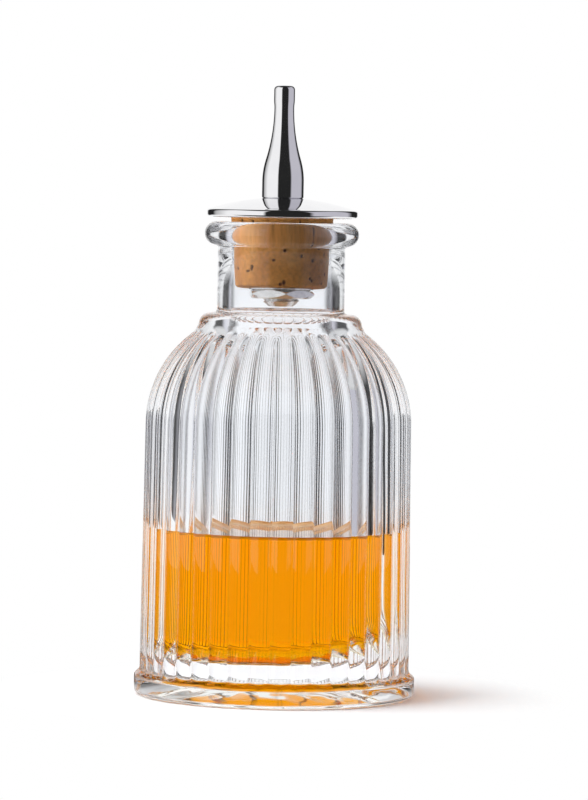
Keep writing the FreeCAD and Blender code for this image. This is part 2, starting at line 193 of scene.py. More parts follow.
# Mesh fineness: steps round the glass, and rows of points along its forms
REED_STEPS = 16
GLASS_STEPS = REED_COUNT * REED_STEPS
KICK_ROWS = 20
FOOT_UNDER_ROWS = 9
FOOT_TOP_ROWS = 6
FILLET_ROWS = 5
WALL_ROWS = 5
SHOULDER_ROWS = 17
RING_SIDE_ROWS = 14
RING_TOP_ROWS = 7
NECK_ROOT_ROWS = 6
LIP_ROWS = 18
MOUTH_ROWS = 5
BORE_ROOT_ROWS = 8
CAVITY_SHOULDER_ROWS = 14
DRY_WALL_ROWS = 4
WET_WALL_ROWS = 5
FLOOR_ROUND_ROWS = 9

# Rows of points along the forms of the metal
RIM_ROWS = 8
DOME_ROWS = 24
SPOUT_EDGE_ROWS = 5
BULGE_ROWS = 12
WAIST_ROWS = 16
FLARE_ROWS = 7
TIP_ROWS = 10
WASHER_EDGE_ROWS = 4

# Heights and radii that follow from the sizes
SHOULDER_ROUND = WALL_SHOULDER_RADIUS - SHOULDER_CENTRE
KICK_RADIUS = FOOT_RADIUS - FOOT_UNDER_ROUND - STAND_WIDTH
CAVITY_RADIUS = WALL_SHOULDER_RADIUS - WALL_THICKNESS
REED_END_RISE = math.sqrt(SHOULDER_ROUND**2 - (RING_FOOT_RADIUS - RING_COVER - SHOULDER_CENTRE) ** 2)
RING_BASE = SHOULDER_HEIGHT + REED_END_RISE - RING_SINK
RING_TOP = RING_BASE + RING_SIDE_RISE + RING_TOP_ROUND
LIP_UNDER = LIP_TOP - LIP_HEIGHT
SURFACE_MIDDLE = LIQUID_SURFACE + SURFACE_RAISE
WET_TOP = SURFACE_MIDDLE + MENISCUS_RISE
DISC_UNDER = disc_low.z
RIM_TOP = DISC_UNDER + RIM_HEIGHT
SEAT = disc_high.z


def around(steps):
    """The angles of the steps round the axis."""
    return np.arange(steps) * (FULL_TURN / steps)


def ring(radius, height, steps=GLASS_STEPS):
    """One ring of a turned mesh, with a radius and a height at each step."""
    return np.broadcast_to(radius, steps), np.broadcast_to(height, steps)


def arc(centre, radius, start, end, count):
    """Points along an arc, as (radius, height) pairs. Angles in degrees from the outward direction."""
    angles = np.radians(np.linspace(start, end, count))
    return [(centre[0] + radius * math.cos(a), centre[1] + radius * math.sin(a)) for a in angles]


def turned_mesh(name, rings, closed_ends=True):
    """A mesh from rings of radii and heights. It closes on the axis, or its last ring joins the first."""
    steps = len(rings[0][0])
    across, along = np.cos(around(steps)), np.sin(around(steps))
    points = [np.column_stack((radius * across, radius * along, height)) for radius, height in rings]
    vertices = np.concatenate(points).tolist()
    here = np.arange(steps)
    following = (here + 1) % steps
    faces = []
    last = len(rings) - 1
    for row in range(last if closed_ends else last + 1):
        lower = row * steps
        upper = (row + 1) % len(rings) * steps
        quads = np.column_stack((lower + here, lower + following, upper + following, upper + here))
        faces.extend(quads.tolist())
    if closed_ends:
        bottom = len(vertices)
        vertices.append((0, 0, float(np.mean(rings[0][1]))))
        vertices.append((0, 0, float(np.mean(rings[-1][1]))))
        faces.extend([bottom, int(b), int(a)] for a, b in zip(here, following))
        top = last * steps
        faces.extend([bottom + 1, int(top + a), int(top + b)] for a, b in zip(here, following))
    mesh = bpy.data.meshes.new(name)
    mesh.from_pydata(vertices, [], faces)
    mesh.polygons.foreach_set("use_smooth", [True] * len(mesh.polygons))
    mesh.update()
    piece = bpy.data.objects.new(name, mesh)
    bpy.context.scene.collection.objects.link(piece)
    return piece


def turned_loop(name, profile, steps):
    """A turned piece with a hole: the profile runs out below, up the outside and back above."""
    piece = turned_mesh(name, [ring(r, z, steps) for r, z in profile], closed_ends=False)
    piece.data.set_sharp_from_angle(angle=math.radians(SHARP_ANGLE))
    return piece


def place(piece, body, node, look):
    """Gives a piece its material and the body that carries it, and hides the solid that it stands for."""
    piece.data.materials.append(look)
    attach(piece, body)
    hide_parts(node)


def lumps(x, y, size, seed):
    """Smooth unevenness from -1 to 1 over a face, with lumps of about the given size."""
    points = zip(np.ravel(x) / size, np.ravel(y) / size)
    return np.array([noise.noise(Vector((px, py, seed))) for px, py in points]).reshape(np.shape(x))


def smooth_max(first, second, blend):
    """The larger of two values, rounded over where they are about equal."""
    return (first + second + np.sqrt((first - second) ** 2 + blend**2)) / 2


def reed_contour():
    """The reeded outline at unit size: round crests of radius 1 that meet in valleys."""
    half_pitch = math.pi / REED_COUNT
    valley = 1 - REED_DEPTH / WALL_FOOT_RADIUS
    side = valley * math.sin(half_pitch)
    bulge = 1 - valley * math.cos(half_pitch)
    crest_round = (side**2 + bulge**2) / (2 * bulge)
    centre = 1 - crest_round
    from_crest = (around(GLASS_STEPS) + half_pitch) % (2 * half_pitch) - half_pitch
    return centre * np.cos(from_crest) + np.sqrt(crest_round**2 - (centre * np.sin(from_crest)) ** 2)


def kick_rings():
    """The hollow under the foot, with the lumpy skin of pressed glass."""
    kick_round = (KICK_RADIUS**2 + KICK_DEPTH**2) / (2 * KICK_DEPTH)
    angles = around(GLASS_STEPS)
    rings = []
    for share in np.linspace(KICK_START_SHARE, 1, KICK_ROWS):
        radius = KICK_RADIUS * share
        dome = KICK_DEPTH - kick_round + math.sqrt(kick_round**2 - radius**2)
        rough = lumps(radius * np.cos(angles), radius * np.sin(angles), KICK_LUMP_SIZE, KICK_LUMP_SEED)
        fade = 1 - share**KICK_FADE_POWER
        rings.append((np.full(GLASS_STEPS, radius), dome + fade * KICK_LUMP * (rough + 1) / 2))
    return rings


def foot_sink():
    """How far the uneven upper edge of the foot lies below its full height, round the axis."""
    angles = around(GLASS_STEPS)
    x, y = FOOT_RADIUS * np.cos(angles), FOOT_RADIUS * np.sin(angles)
    return FOOT_LUMP * (lumps(x, y, FOOT_LUMP_SIZE, FOOT_LUMP_SEED) + 1) / 2


def foot_rings():
    """The foot's outer side, from the flat that it stands on to its uneven upper edge."""
    under_centre = (FOOT_RADIUS - FOOT_UNDER_ROUND, FOOT_UNDER_ROUND)
    under = arc(under_centre, FOOT_UNDER_ROUND, DOWNWARD, OUTWARD, FOOT_UNDER_ROWS)
    rings = [ring(r, z) for r, z in under]
    top_centre = (FOOT_RADIUS - FOOT_TOP_ROUND, FOOT_HEIGHT - FOOT_TOP_ROUND)
    upper = arc(top_centre, FOOT_TOP_ROUND, OUTWARD, FOOT_TOP_SWEEP, FOOT_TOP_ROWS)
    for share, (radius, height) in zip(np.linspace(0, 1, FOOT_TOP_ROWS), upper):
        rings.append(ring(radius, height - share * foot_sink()))
    return rings


def foot_top(radius):
    """The height of the foot's upper side at a radius."""
    out = np.maximum(radius - (FOOT_RADIUS - FOOT_TOP_ROUND), 0)
    return FOOT_HEIGHT - FOOT_TOP_ROUND + np.sqrt(FOOT_TOP_ROUND**2 - out**2)


def reed_foot_rings():
    """The small fillet where the reeds stand on the foot."""
    wall = WALL_FOOT_RADIUS * reed_contour()
    corner_z = foot_top(wall)
    drop = foot_top(wall + REED_FILLET) - corner_z - foot_sink()
    rings = []
    for share in np.linspace(0, 1, FILLET_ROWS):
        near, far = (1 - share) ** 2, share**2
        rings.append((wall + near * REED_FILLET, corner_z + far * REED_FILLET + near * drop))
    return rings


def reeded_wall_rings():
    """The reeds up the wall, over the shoulder and into the side of the neck's ring."""
    contour = reed_contour()
    low = FOOT_HEIGHT + 2 * REED_FILLET
    rings = []
    for height in np.linspace(low, SHOULDER_HEIGHT, WALL_ROWS):
        rise = height / SHOULDER_HEIGHT
        crest = WALL_FOOT_RADIUS + (WALL_SHOULDER_RADIUS - WALL_FOOT_RADIUS) * rise
        rings.append(ring(crest * contour, height))
    sweep = math.asin((RING_BASE - SHOULDER_HEIGHT) / SHOULDER_ROUND)
    for angle in np.linspace(0, sweep, SHOULDER_ROWS)[1:]:
        crest = SHOULDER_CENTRE + SHOULDER_ROUND * math.cos(angle)
        rings.append(ring(crest * contour, SHOULDER_HEIGHT + SHOULDER_ROUND * math.sin(angle)))
    for height in np.linspace(RING_BASE, RING_BASE + RING_SIDE_RISE, RING_SIDE_ROWS)[1:]:
        crest = SHOULDER_CENTRE + math.sqrt(SHOULDER_ROUND**2 - (height - SHOULDER_HEIGHT) ** 2)
        side = RING_FOOT_RADIUS - RING_LEAN * (height - RING_BASE) / RING_SIDE_RISE
        rings.append(ring(smooth_max(crest * contour, side, RING_FILLET), height))
    return rings


def neck_rings():
    """The top of the ring, the plain neck, the rolled lip and the mouth's edge."""
    ring_top_radius = RING_FOOT_RADIUS - RING_LEAN
    top_centre = (ring_top_radius - RING_TOP_ROUND, RING_TOP - RING_TOP_ROUND)
    profile = arc(top_centre, RING_TOP_ROUND, RING_TOP_START, UPWARD, RING_TOP_ROWS)
    root = (NECK_RADIUS + NECK_ROOT_ROUND, RING_TOP + NECK_ROOT_ROUND)
    profile += arc(root, NECK_ROOT_ROUND, DOWNWARD, -INWARD, NECK_ROOT_ROWS)
    lip_round = LIP_HEIGHT / 2
    lip_centre = (NECK_RADIUS + LIP_LEDGE, LIP_UNDER + lip_round)
    profile += [(NECK_RADIUS, LIP_UNDER - LIP_LEDGE)]
    profile += arc(lip_centre, lip_round, LIP_START, UPWARD, LIP_ROWS)
    mouth = (BORE_RADIUS + MOUTH_ROUND, LIP_TOP - MOUTH_ROUND)
    profile += arc(mouth, MOUTH_ROUND, UPWARD, INWARD, MOUTH_ROWS)
    return [ring(r, z) for r, z in profile]


def inner_wave(height, angles):
    """The slight unevenness of the pressed hollow at one height."""
    return sum(size * np.sin(count * angles + height / length) for size, count, length in INNER_WAVES)


def floor_height(radius, angles):
    """The floor of the hollow, which rises towards one side and is a little lumpy."""
    x, y = radius * np.cos(angles), radius * np.sin(angles)
    past = x - FLOOR_TILT_START
    rise = FLOOR_TILT_SHARE * (past + np.sqrt(past**2 + FLOOR_TILT_SOFT**2)) / 2
    return FLOOR_HEIGHT + rise + FLOOR_LUMP * lumps(x, y, FLOOR_LUMP_SIZE, FLOOR_LUMP_SEED)


def hollow_top_rings():
    """The hollow from the bore's lower end down to the straight wall."""
    shoulder = (CAVITY_RADIUS - CAVITY_SHOULDER_ROUND, SHOULDER_HEIGHT)
    root_radius = BORE_RADIUS + BORE_ROOT_ROUND
    reach = CAVITY_SHOULDER_ROUND + BORE_ROOT_ROUND
    root_rise = math.sqrt(reach**2 - (root_radius - shoulder[0]) ** 2)
    meet_angle = math.degrees(math.atan2(root_rise, root_radius - shoulder[0]))
    root = (root_radius, SHOULDER_HEIGHT + root_rise)
    profile = arc(root, BORE_ROOT_ROUND, INWARD, INWARD + meet_angle, BORE_ROOT_ROWS)
    profile += arc(shoulder, CAVITY_SHOULDER_ROUND, meet_angle, OUTWARD, CAVITY_SHOULDER_ROWS)[1:-1]
    return [ring(r, z) for r, z in profile]


def hollow_base_rings(angles, top, extra):
    """The hollow's wall from a height down to the floor's middle, pushed outward by extra."""
    right = np.maximum(np.cos(angles), 0)
    corner = FLOOR_ROUND + FLOOR_ROUND_MORE * right**2
    floor_edge = CAVITY_RADIUS - corner
    wall_low = floor_height(floor_edge, angles) + corner
    contact = np.full(len(angles), min(top, WET_TOP))
    heights = []
    if top > WET_TOP:
        heights += [top + (contact - top) * share for share in np.linspace(0, 1, DRY_WALL_ROWS)[:-1]]
    heights += [contact + (wall_low - contact) * share for share in np.linspace(0, 1, WET_WALL_ROWS)]
    rings = [(CAVITY_RADIUS + extra + inner_wave(height, angles), height) for height in heights]
    for turn in np.linspace(0, math.pi / 2, FLOOR_ROUND_ROWS)[1:]:
        radius = floor_edge + (corner + inner_wave(wall_low, angles) + extra) * math.cos(turn)
        rings.append((radius, wall_low - (corner + extra) * math.sin(turn)))
    for share in FLOOR_SHARES:
        radius = floor_edge * share
        rings.append((radius, floor_height(radius, angles) - extra))
    return rings


def grey(level):
    return (level, level, level, 1)


# Sockets of the Mix node that carry colours
FIRST_COLOUR = 6
SECOND_COLOUR = 7
MIXED_COLOUR = 2


class Tree:
    """A node tree with short ways to add nodes and join them."""

    def __init__(self, owner):
        owner.use_nodes = True
        self.nodes = owner.node_tree.nodes
        self.links = owner.node_tree.links

    def feed(self, node, inputs):
        """Sets inputs, by name or number, from sockets or plain values."""
        for key, value in inputs.items():
            if isinstance(value, bpy.types.NodeSocket):
                self.links.new(value, node.inputs[key])
            else:
                node.inputs[key].default_value = value

    def add(self, kind, inputs, **settings):
        node = self.nodes.new("ShaderNode" + kind)
        for setting, value in settings.items():
            setattr(node, setting, value)
        self.feed(node, inputs)
        return node

    def math(self, operation, *values):
        return self.add("Math", dict(enumerate(values)), operation=operation).outputs[0]

    def mix(self, share, first, second):
        """One colour blended into another by a share."""
        inputs = {"Factor": share, FIRST_COLOUR: first, SECOND_COLOUR: second}
        return self.add("Mix", inputs, data_type="RGBA").outputs[MIXED_COLOUR]

    def blend(self, way, first, second):
        """Two colours joined in full, such as MULTIPLY or LIGHTEN."""
        inputs = {"Factor": 1.0, FIRST_COLOUR: first, SECOND_COLOUR: second}
        return self.add("Mix", inputs, data_type="RGBA", blend_type=way).outputs[MIXED_COLOUR]

    def ramp(self, share, stops):
        """A colour ramp from (place, colour) stops in rising order."""
        node = self.add("ValToRGB", {"Fac": share})
        elements = node.color_ramp.elements
        elements.remove(elements[1])
        elements[0].position, elements[0].color = stops[0]
        for where, colour in stops[1:]:
            elements.new(where).color = colour
        return node.outputs["Color"]

    def rise(self, value, start, end):
        """0 up to the start, 1 from the end on, and a straight rise between."""
        return self.ramp(value, [(start, grey(0)), (end, grey(1))])

    def noise(self, scale, stretch=(1, 1, 1), detail=2.0, roughness=0.5):
        """Noise in the object's own metres."""
        where = self.add("TexCoord", {}).outputs["Object"]
        stretched = self.add("Mapping", {"Vector": where, "Scale": stretch}).outputs["Vector"]
        inputs = {"Vector": stretched, "Scale": scale, "Detail": detail, "Roughness": roughness}
        return self.add("TexNoise", inputs).outputs["Fac"]

    def bump(self, height, strength, distance):
        inputs = {"Height": height, "Strength": strength, "Distance": distance}
        return self.add("Bump", inputs).outputs["Normal"]


WHITE = grey(1.0)
DARK = grey(0.02)

# Looks of the glass
GLASS_IOR = 1.5
GLASS_TINT = (0.962, 0.977, 1.0, 1)
GLASS_WAVE_SCALE = 170.0
GLASS_WAVE_STRETCH = (1, 1, 0.35)
GLASS_WAVE_SHARE = 0.25
GLASS_WAVE_DEPTH = 0.06 * MM

# Looks of the liquid
LIQUID_IOR = 1.36
AMBER = (1.0, 0.52, 0.01, 1)
STAIN = (0.996, 0.937, 0.0, 1)  # of light that goes through the liquid
STAIN_DENSITY = 175.0
FILM = (0.9, 0.72, 0.42, 1)  # of the fine bubbles on the liquid's surface
FILM_SHARE = 0.5
SHEEN = (0.72, 0.57, 0.4, 1)  # of what the liquid's surface mirrors
LIQUID_WAVE_SCALE = 90.0
LIQUID_WAVE_SHARE = 0.1
LIQUID_WAVE_DEPTH = 0.05 * MM

# Looks of the polished head
CHROME_COLOURS = [(0.3, (0.84, 0.84, 0.86, 1)), (0.7, (0.88, 0.88, 0.89, 1))]
CHROME_ROUGHNESS = [(0.3, grey(0.025)), (0.75, grey(0.07))]
CHROME_HAZE_SCALE = 220.0
CHROME_MARK_SCALE = 1400.0
CHROME_MARK_STRETCH = (0.12, 0.12, 1.0)
CHROME_MARK_DETAIL = 3.0
CHROME_MARK_SHARE = 0.12
CHROME_MARK_DEPTH = 0.01 * MM

# Looks of the plated stem, washer and nut
PLATED_COLOURS = [(0.3, (0.74, 0.73, 0.72, 1)), (0.7, (0.84, 0.83, 0.81, 1))]
PLATED_ROUGHNESS = [(0.3, grey(0.1)), (0.75, grey(0.24))]
PLATED_MARK_SCALE = 900.0
PLATED_MARK_STRETCH = (1, 1, 1)
PLATED_MARK_DETAIL = 4.0
PLATED_MARK_ROUGHNESS = 0.6
PLATED_MARK_SHARE = 0.2
PLATED_MARK_DEPTH = 0.02 * MM

# Looks of the cork
CORK_COLOURS = [(0.28, (0.57, 0.21, 0.045, 1)), (0.5, (0.78, 0.34, 0.085, 1)), (0.74, (0.9, 0.47, 0.16, 1))]
CORK_SPECKLES = [(0.3, grey(0.72)), (0.6, grey(1.0))]
CORK_ROUGHNESS = [(0.3, grey(0.72)), (0.7, grey(0.92))]
CORK_PORE = (0.12, 0.045, 0.018, 1)
CORK_GLOSS_SHARE = 0.25
CORK_STREAK_SCALE = 130.0
CORK_STREAK_STRETCH = (1, 1, 0.4)
CORK_STREAK_DETAIL = 5.0
CORK_STREAK_ROUGHNESS = 0.6
CORK_GRAIN_SCALE = 1500.0
CORK_GRAIN_STRETCH = (1, 1, 0.7)
CORK_GRAIN_DETAIL = 3.0
CORK_GRAIN_ROUGHNESS = 0.7
CORK_GRAIN_SHARE = 0.35
CORK_GRAIN_DEPTH = 0.08 * MM


def material(name):
    """A new material, its tree and its Principled shader."""
    made = bpy.data.materials.new(name)
    tree = Tree(made)
    return made, tree, tree.nodes["Principled BSDF"]


def glass_material(name, tint, outside_ior=1.0):
    """Clear pressed glass whose skin is faintly wavy, against air or against the liquid that wets it."""
    made, tree, shader = material(name)
    wavy = tree.noise(GLASS_WAVE_SCALE, GLASS_WAVE_STRETCH)
    inputs = {
        "Base Color": tint,
        "Roughness": 0.0,
        "IOR": GLASS_IOR / outside_ior,
        "Transmission Weight": 1.0,
        "Normal": tree.bump(wavy, GLASS_WAVE_SHARE, GLASS_WAVE_DEPTH),
    }
    tree.feed(shader, inputs)
    return made


def liquid_material(name, ior, film_share=0.0):
    """Clear amber liquid, with a film of bubbles over a share of its surface.

    The side that wets the glass bends no light: the glass does that there.
    """
    made, tree, shader = material(name)
    wavy = tree.noise(LIQUID_WAVE_SCALE)
    inputs = {
        "Base Color": FILM if film_share else WHITE,
        "Specular Tint": SHEEN if film_share else WHITE,
        "Roughness": 0.0,
        "IOR": ior,
        "Transmission Weight": 1.0 - film_share,
        "Normal": tree.bump(wavy, LIQUID_WAVE_SHARE, LIQUID_WAVE_DEPTH),
    }
    tree.feed(shader, inputs)
    absorption = tree.add("VolumeAbsorption", {"Color": STAIN, "Density": STAIN_DENSITY})
    tree.feed(tree.nodes["Material Output"], {"Volume": absorption.outputs["Volume"]})
    return made


def polished_metal_material():
    """Bright chrome with faint turning marks and a little haze."""
    made, tree, shader = material("polished_metal")
    marks = tree.noise(CHROME_MARK_SCALE, CHROME_MARK_STRETCH, CHROME_MARK_DETAIL)
    haze = tree.noise(CHROME_HAZE_SCALE)
    inputs = {
        "Base Color": tree.ramp(haze, CHROME_COLOURS),
        "Metallic": 1.0,
        "Roughness": tree.ramp(haze, CHROME_ROUGHNESS),
        "Normal": tree.bump(marks, CHROME_MARK_SHARE, CHROME_MARK_DEPTH),
    }
    tree.feed(shader, inputs)
    return made


def stem_metal_material():
    """Plated metal, a little warmer and duller than the head."""
    made, tree, shader = material("stem_metal")
    marks = tree.noise(PLATED_MARK_SCALE, PLATED_MARK_STRETCH, PLATED_MARK_DETAIL, PLATED_MARK_ROUGHNESS)
    inputs = {
        "Base Color": tree.ramp(marks, PLATED_COLOURS),
        "Metallic": 1.0,
        "Roughness": tree.ramp(marks, PLATED_ROUGHNESS),
        "Normal": tree.bump(marks, PLATED_MARK_SHARE, PLATED_MARK_DEPTH),
    }
    tree.feed(shader, inputs)
    return made


def cork_material():
    """Natural cork: streaks of tan, fine grain and dark pores where the surface is pitted."""
    made, tree, shader = material("cork")
    streaks = tree.noise(CORK_STREAK_SCALE, CORK_STREAK_STRETCH, CORK_STREAK_DETAIL, CORK_STREAK_ROUGHNESS)
    grain = tree.noise(CORK_GRAIN_SCALE, CORK_GRAIN_STRETCH, CORK_GRAIN_DETAIL, CORK_GRAIN_ROUGHNESS)
    tan = tree.ramp(streaks, CORK_COLOURS)
    grained = tree.blend("MULTIPLY", tan, tree.ramp(grain, CORK_SPECKLES))
    pores = tree.add("VertexColor", {}, layer_name="pores").outputs["Color"]
    inputs = {
        "Base Color": tree.mix(pores, grained, CORK_PORE),
        "Roughness": tree.ramp(grain, CORK_ROUGHNESS),
        "Specular IOR Level": CORK_GLOSS_SHARE,
        "Normal": tree.bump(grain, CORK_GRAIN_SHARE, CORK_GRAIN_DEPTH),
    }
    tree.feed(shader, inputs)
    return made


def add_wet_look(piece, look, wet):
    """Gives a second material to the faces for which wet(centres, normals) holds."""
    count = len(piece.data.polygons)
    centres, normals = np.empty(3 * count), np.empty(3 * count)
    piece.data.polygons.foreach_get("center", centres)
    piece.data.polygons.foreach_get("normal", normals)
    chosen = wet(centres.reshape(count, 3), normals.reshape(count, 3))
    piece.data.materials.append(look)
    piece.data.polygons.foreach_set("material_index", chosen.astype(int))


def touches_liquid(centres, normals):
    """Faces of the glass that the liquid wets."""
    in_hollow = np.hypot(centres[:, 0], centres[:, 1]) < CAVITY_RADIUS + LIQUID_OVERLAP + FLOOR_LUMP
    above_foot = centres[:, 2] > (KICK_DEPTH + FLOOR_HEIGHT) / 2
    return in_hollow & above_foot & (centres[:, 2] < WET_TOP)


def touches_glass(centres, normals):
    """Faces of the liquid that lie against the glass: all but its upper surface."""
    return normals[:, 2] < FACING_UP_SHARE


def glass_bottle():
    angles = around(GLASS_STEPS)
    outside = kick_rings() + foot_rings() + reed_foot_rings() + reeded_wall_rings() + neck_rings()
    inside = hollow_top_rings() + hollow_base_rings(angles, SHOULDER_HEIGHT, 0)
    piece = turned_mesh("bottle_glass", outside + inside)
    place(piece, "bottle", "glass_bottle", glass_material("clear_glass", GLASS_TINT))
    add_wet_look(piece, glass_material("wetted_glass", AMBER, LIQUID_IOR), touches_liquid)


def bitters_liquid():
    """The liquid reaches a hair into the glass, so that light crosses from one to the other with no air."""
    angles = around(LIQUID_STEPS)
    side = hollow_base_rings(angles, WET_TOP, LIQUID_OVERLAP)
    wall = side[0][0]
    surface = []
    for inset in MENISCUS_INSETS:
        rise = MENISCUS_RISE * math.exp(-inset / MENISCUS_WIDTH)
        surface.append(ring(wall - inset, SURFACE_MIDDLE + rise, LIQUID_STEPS))
    piece = turned_mesh("amber_bitters", side[::-1] + surface)
    look = liquid_material("amber_liquid", LIQUID_IOR, FILM_SHARE)
    place(piece, "bottle", "bitters_liquid", look)
    add_wet_look(piece, liquid_material("wetting_liquid", 1.0), touches_glass)


def cork_pits(radius, height):
    """How deep each point of the cork's side lies in a pit, in metres."""
    dice = np.random.RandomState(PIT_SEED)
    angles = around(CORK_STEPS)
    depth = np.zeros(np.shape(height))
    for _ in range(PIT_COUNT):
        turn = dice.uniform(0, FULL_TURN)
        level = dice.uniform(cork_low.z, cork_high.z)
        width, tall, deep = (dice.uniform(*span) for span in (PIT_WIDTHS, PIT_HEIGHTS, PIT_DEPTHS))
        away = (angles - turn + math.pi) % FULL_TURN - math.pi
        reach = (away * radius / width) ** 2 + ((height - level) / tall) ** 2
        depth = np.maximum(depth, deep * np.exp(-(reach**PIT_POWER)))
    return depth


def cork_stopper():
    """A tapered cork with pits in its side and a hole for the stem."""
    top_radius = cork_high.x
    side_low = cork_low.z + CORK_EDGE
    flat = np.zeros(CORK_STEPS)
    rings = [ring(STEM_HOLE_RADIUS, cork_low.z, CORK_STEPS)]
    deepest = [flat]
    end_radius = top_radius - CORK_TAPER_SHARE * (cork_high.z - side_low) - CORK_EDGE
    for share in CORK_END_SHARES:
        radius = STEM_HOLE_RADIUS + (end_radius - STEM_HOLE_RADIUS) * share
        rings.append(ring(radius, cork_low.z, CORK_STEPS))
        deepest.append(flat)
    for height in np.linspace(side_low, cork_high.z, CORK_ROWS):
        radius = top_radius - CORK_TAPER_SHARE * (cork_high.z - height)
        depth = cork_pits(radius, np.full(CORK_STEPS, height))
        rings.append(ring(radius - depth, height, CORK_STEPS))
        deepest.append(depth)
    rings.append(ring(STEM_HOLE_RADIUS, cork_high.z, CORK_STEPS))
    deepest.append(flat)
    piece = turned_mesh("cork_plug", rings, closed_ends=False)
    piece.data.set_sharp_from_angle(angle=math.radians(CORK_SHARP_ANGLE))
    shades = np.clip(np.concatenate(deepest) / PIT_DEPTHS[0], 0, 1)
    pores = piece.data.color_attributes.new("pores", "FLOAT_COLOR", "POINT")
    pores.data.foreach_set("color", np.column_stack((shades, shades, shades, np.ones(len(shades)))).ravel())
    place(piece, "stopper", "cork_stopper", cork_material())


def cap_disc(look):
    """A domed disc with a rounded rim and a flat seat for the spout."""
    side = DISC_RADIUS - RIM_ROUND
    dome_centre = RIM_TOP - math.sqrt(DOME_ROUND**2 - side**2)
    dome_start = math.degrees(math.acos(side / DOME_ROUND))
    dome_end = math.degrees(math.acos(SEAT_RADIUS / DOME_ROUND))
    profile = [(SPIGOT_HOLE_RADIUS, DISC_UNDER)]
    profile += arc((side, DISC_UNDER + RIM_ROUND), RIM_ROUND, DOWNWARD, OUTWARD, RIM_ROWS)
    profile += arc((side, RIM_TOP - RIM_ROUND), RIM_ROUND, OUTWARD, dome_start, RIM_ROWS)
    profile += arc((0, dome_centre), DOME_ROUND, dome_start, dome_end, DOME_ROWS)
    profile += [(SPIGOT_HOLE_RADIUS, SEAT)]
    piece = turned_loop("dome_disc", profile, HEAD_STEPS)
    place(piece, "dasher_head", "cap_disc", look)


def dasher_spout(look):
    """A spout that bulges, narrows to a waist and ends in a short tip, with a spigot below and a bore."""
    taper_base = SEAT + SPOUT_BASE_HEIGHT
    narrowing = SPOUT_BASE_RADIUS - SPOUT_WAIST_RADIUS
    both_rounds = (TAPER_LENGTH**2 + narrowing**2) / (2 * narrowing)
    bulge = both_rounds * TAPER_BULGE_SHARE
    hollow = both_rounds - bulge
    waist = taper_base + TAPER_LENGTH
    sweep = math.degrees(math.asin(TAPER_LENGTH / both_rounds))
    tip_top = waist + TIP_FLARE + TIP_LENGTH
    edge_centre = (SPOUT_BASE_RADIUS - SPOUT_BASE_EDGE, SEAT + SPOUT_BASE_EDGE)
    profile = [(SPOUT_BORE_RADIUS, spout_low.z), (SPIGOT_RADIUS, spout_low.z), (SPIGOT_RADIUS, SEAT)]
    profile += arc(edge_centre, SPOUT_BASE_EDGE, DOWNWARD, OUTWARD, SPOUT_EDGE_ROWS)
    profile += arc((SPOUT_BASE_RADIUS - bulge, taper_base), bulge, OUTWARD, sweep, BULGE_ROWS)
    profile += arc((SPOUT_WAIST_RADIUS + hollow, waist), hollow, INWARD + sweep, INWARD, WAIST_ROWS)[1:]
    for share in np.linspace(0, 1, FLARE_ROWS)[1:]:
        flare = (TIP_RADIUS - SPOUT_WAIST_RADIUS) * (1 - math.cos(math.pi * share)) / 2
        profile.append((SPOUT_WAIST_RADIUS + flare, waist + TIP_FLARE * share))
    profile += arc((TIP_RADIUS - TIP_ROUND, tip_top), TIP_ROUND, OUTWARD, UPWARD, TIP_ROWS)
    hole_bottom = spout_high.z - DASH_HOLE_LENGTH
    profile += [(DASH_HOLE_RADIUS, spout_high.z), (DASH_HOLE_RADIUS, hole_bottom)]
    profile += [(SPOUT_BORE_RADIUS, hole_bottom - SPOUT_BORE_RADIUS)]
    piece = turned_loop("spout", profile, HEAD_STEPS)
    place(piece, "dasher_head", "dasher_spout", look)


def hollow_stem(look):
    """A tube with a cut thread on its lower part and a bevelled end."""
    angles = around(STEM_STEPS)
    end_radius = STEM_RADIUS - STEM_EDGE
    rings = [ring(STEM_BORE_RADIUS, stem_low.z, STEM_STEPS), ring(end_radius, stem_low.z, STEM_STEPS)]
    rows = round(THREAD_LENGTH / THREAD_ROW)
    for row in range(1, rows + 1):
        rise = row * THREAD_ROW
        phase = (rise / THREAD_PITCH - angles / FULL_TURN) % 1
        fade = min(1, (THREAD_LENGTH - rise) / THREAD_PITCH)
        thread = STEM_RADIUS - fade * THREAD_DEPTH * np.abs(2 * phase - 1)
        rings.append(ring(np.minimum(thread, end_radius + rise), stem_low.z + rise, STEM_STEPS))
    rings.append(ring(STEM_RADIUS, stem_high.z, STEM_STEPS))
    rings.append(ring(SPIGOT_HOLE_RADIUS, stem_high.z, STEM_STEPS))
    socket = spout_low.z - THREAD_PITCH / 2
    rings += [ring(SPIGOT_HOLE_RADIUS, socket, STEM_STEPS), ring(STEM_BORE_RADIUS, socket, STEM_STEPS)]
    piece = turned_mesh("threaded_stem", rings, closed_ends=False)
    piece.data.set_sharp_from_angle(angle=math.radians(SHARP_ANGLE))
    place(piece, "dasher_head", "hollow_stem", look)


def stem_washer(look):
    """A thin washer with rounded outer edges."""
    side = washer_high.x - WASHER_EDGE
    low_centre = (side, washer_low.z + WASHER_EDGE)
    high_centre = (side, washer_high.z - WASHER_EDGE)
    profile = [(STEM_HOLE_RADIUS, washer_low.z)]
    profile += arc(low_centre, WASHER_EDGE, DOWNWARD, OUTWARD, WASHER_EDGE_ROWS)
    profile += arc(high_centre, WASHER_EDGE, OUTWARD, UPWARD, WASHER_EDGE_ROWS)
    profile += [(STEM_HOLE_RADIUS, washer_high.z)]
    piece = turned_loop("washer", profile, HEAD_STEPS)
    place(piece, "washer", "stem_washer", look)


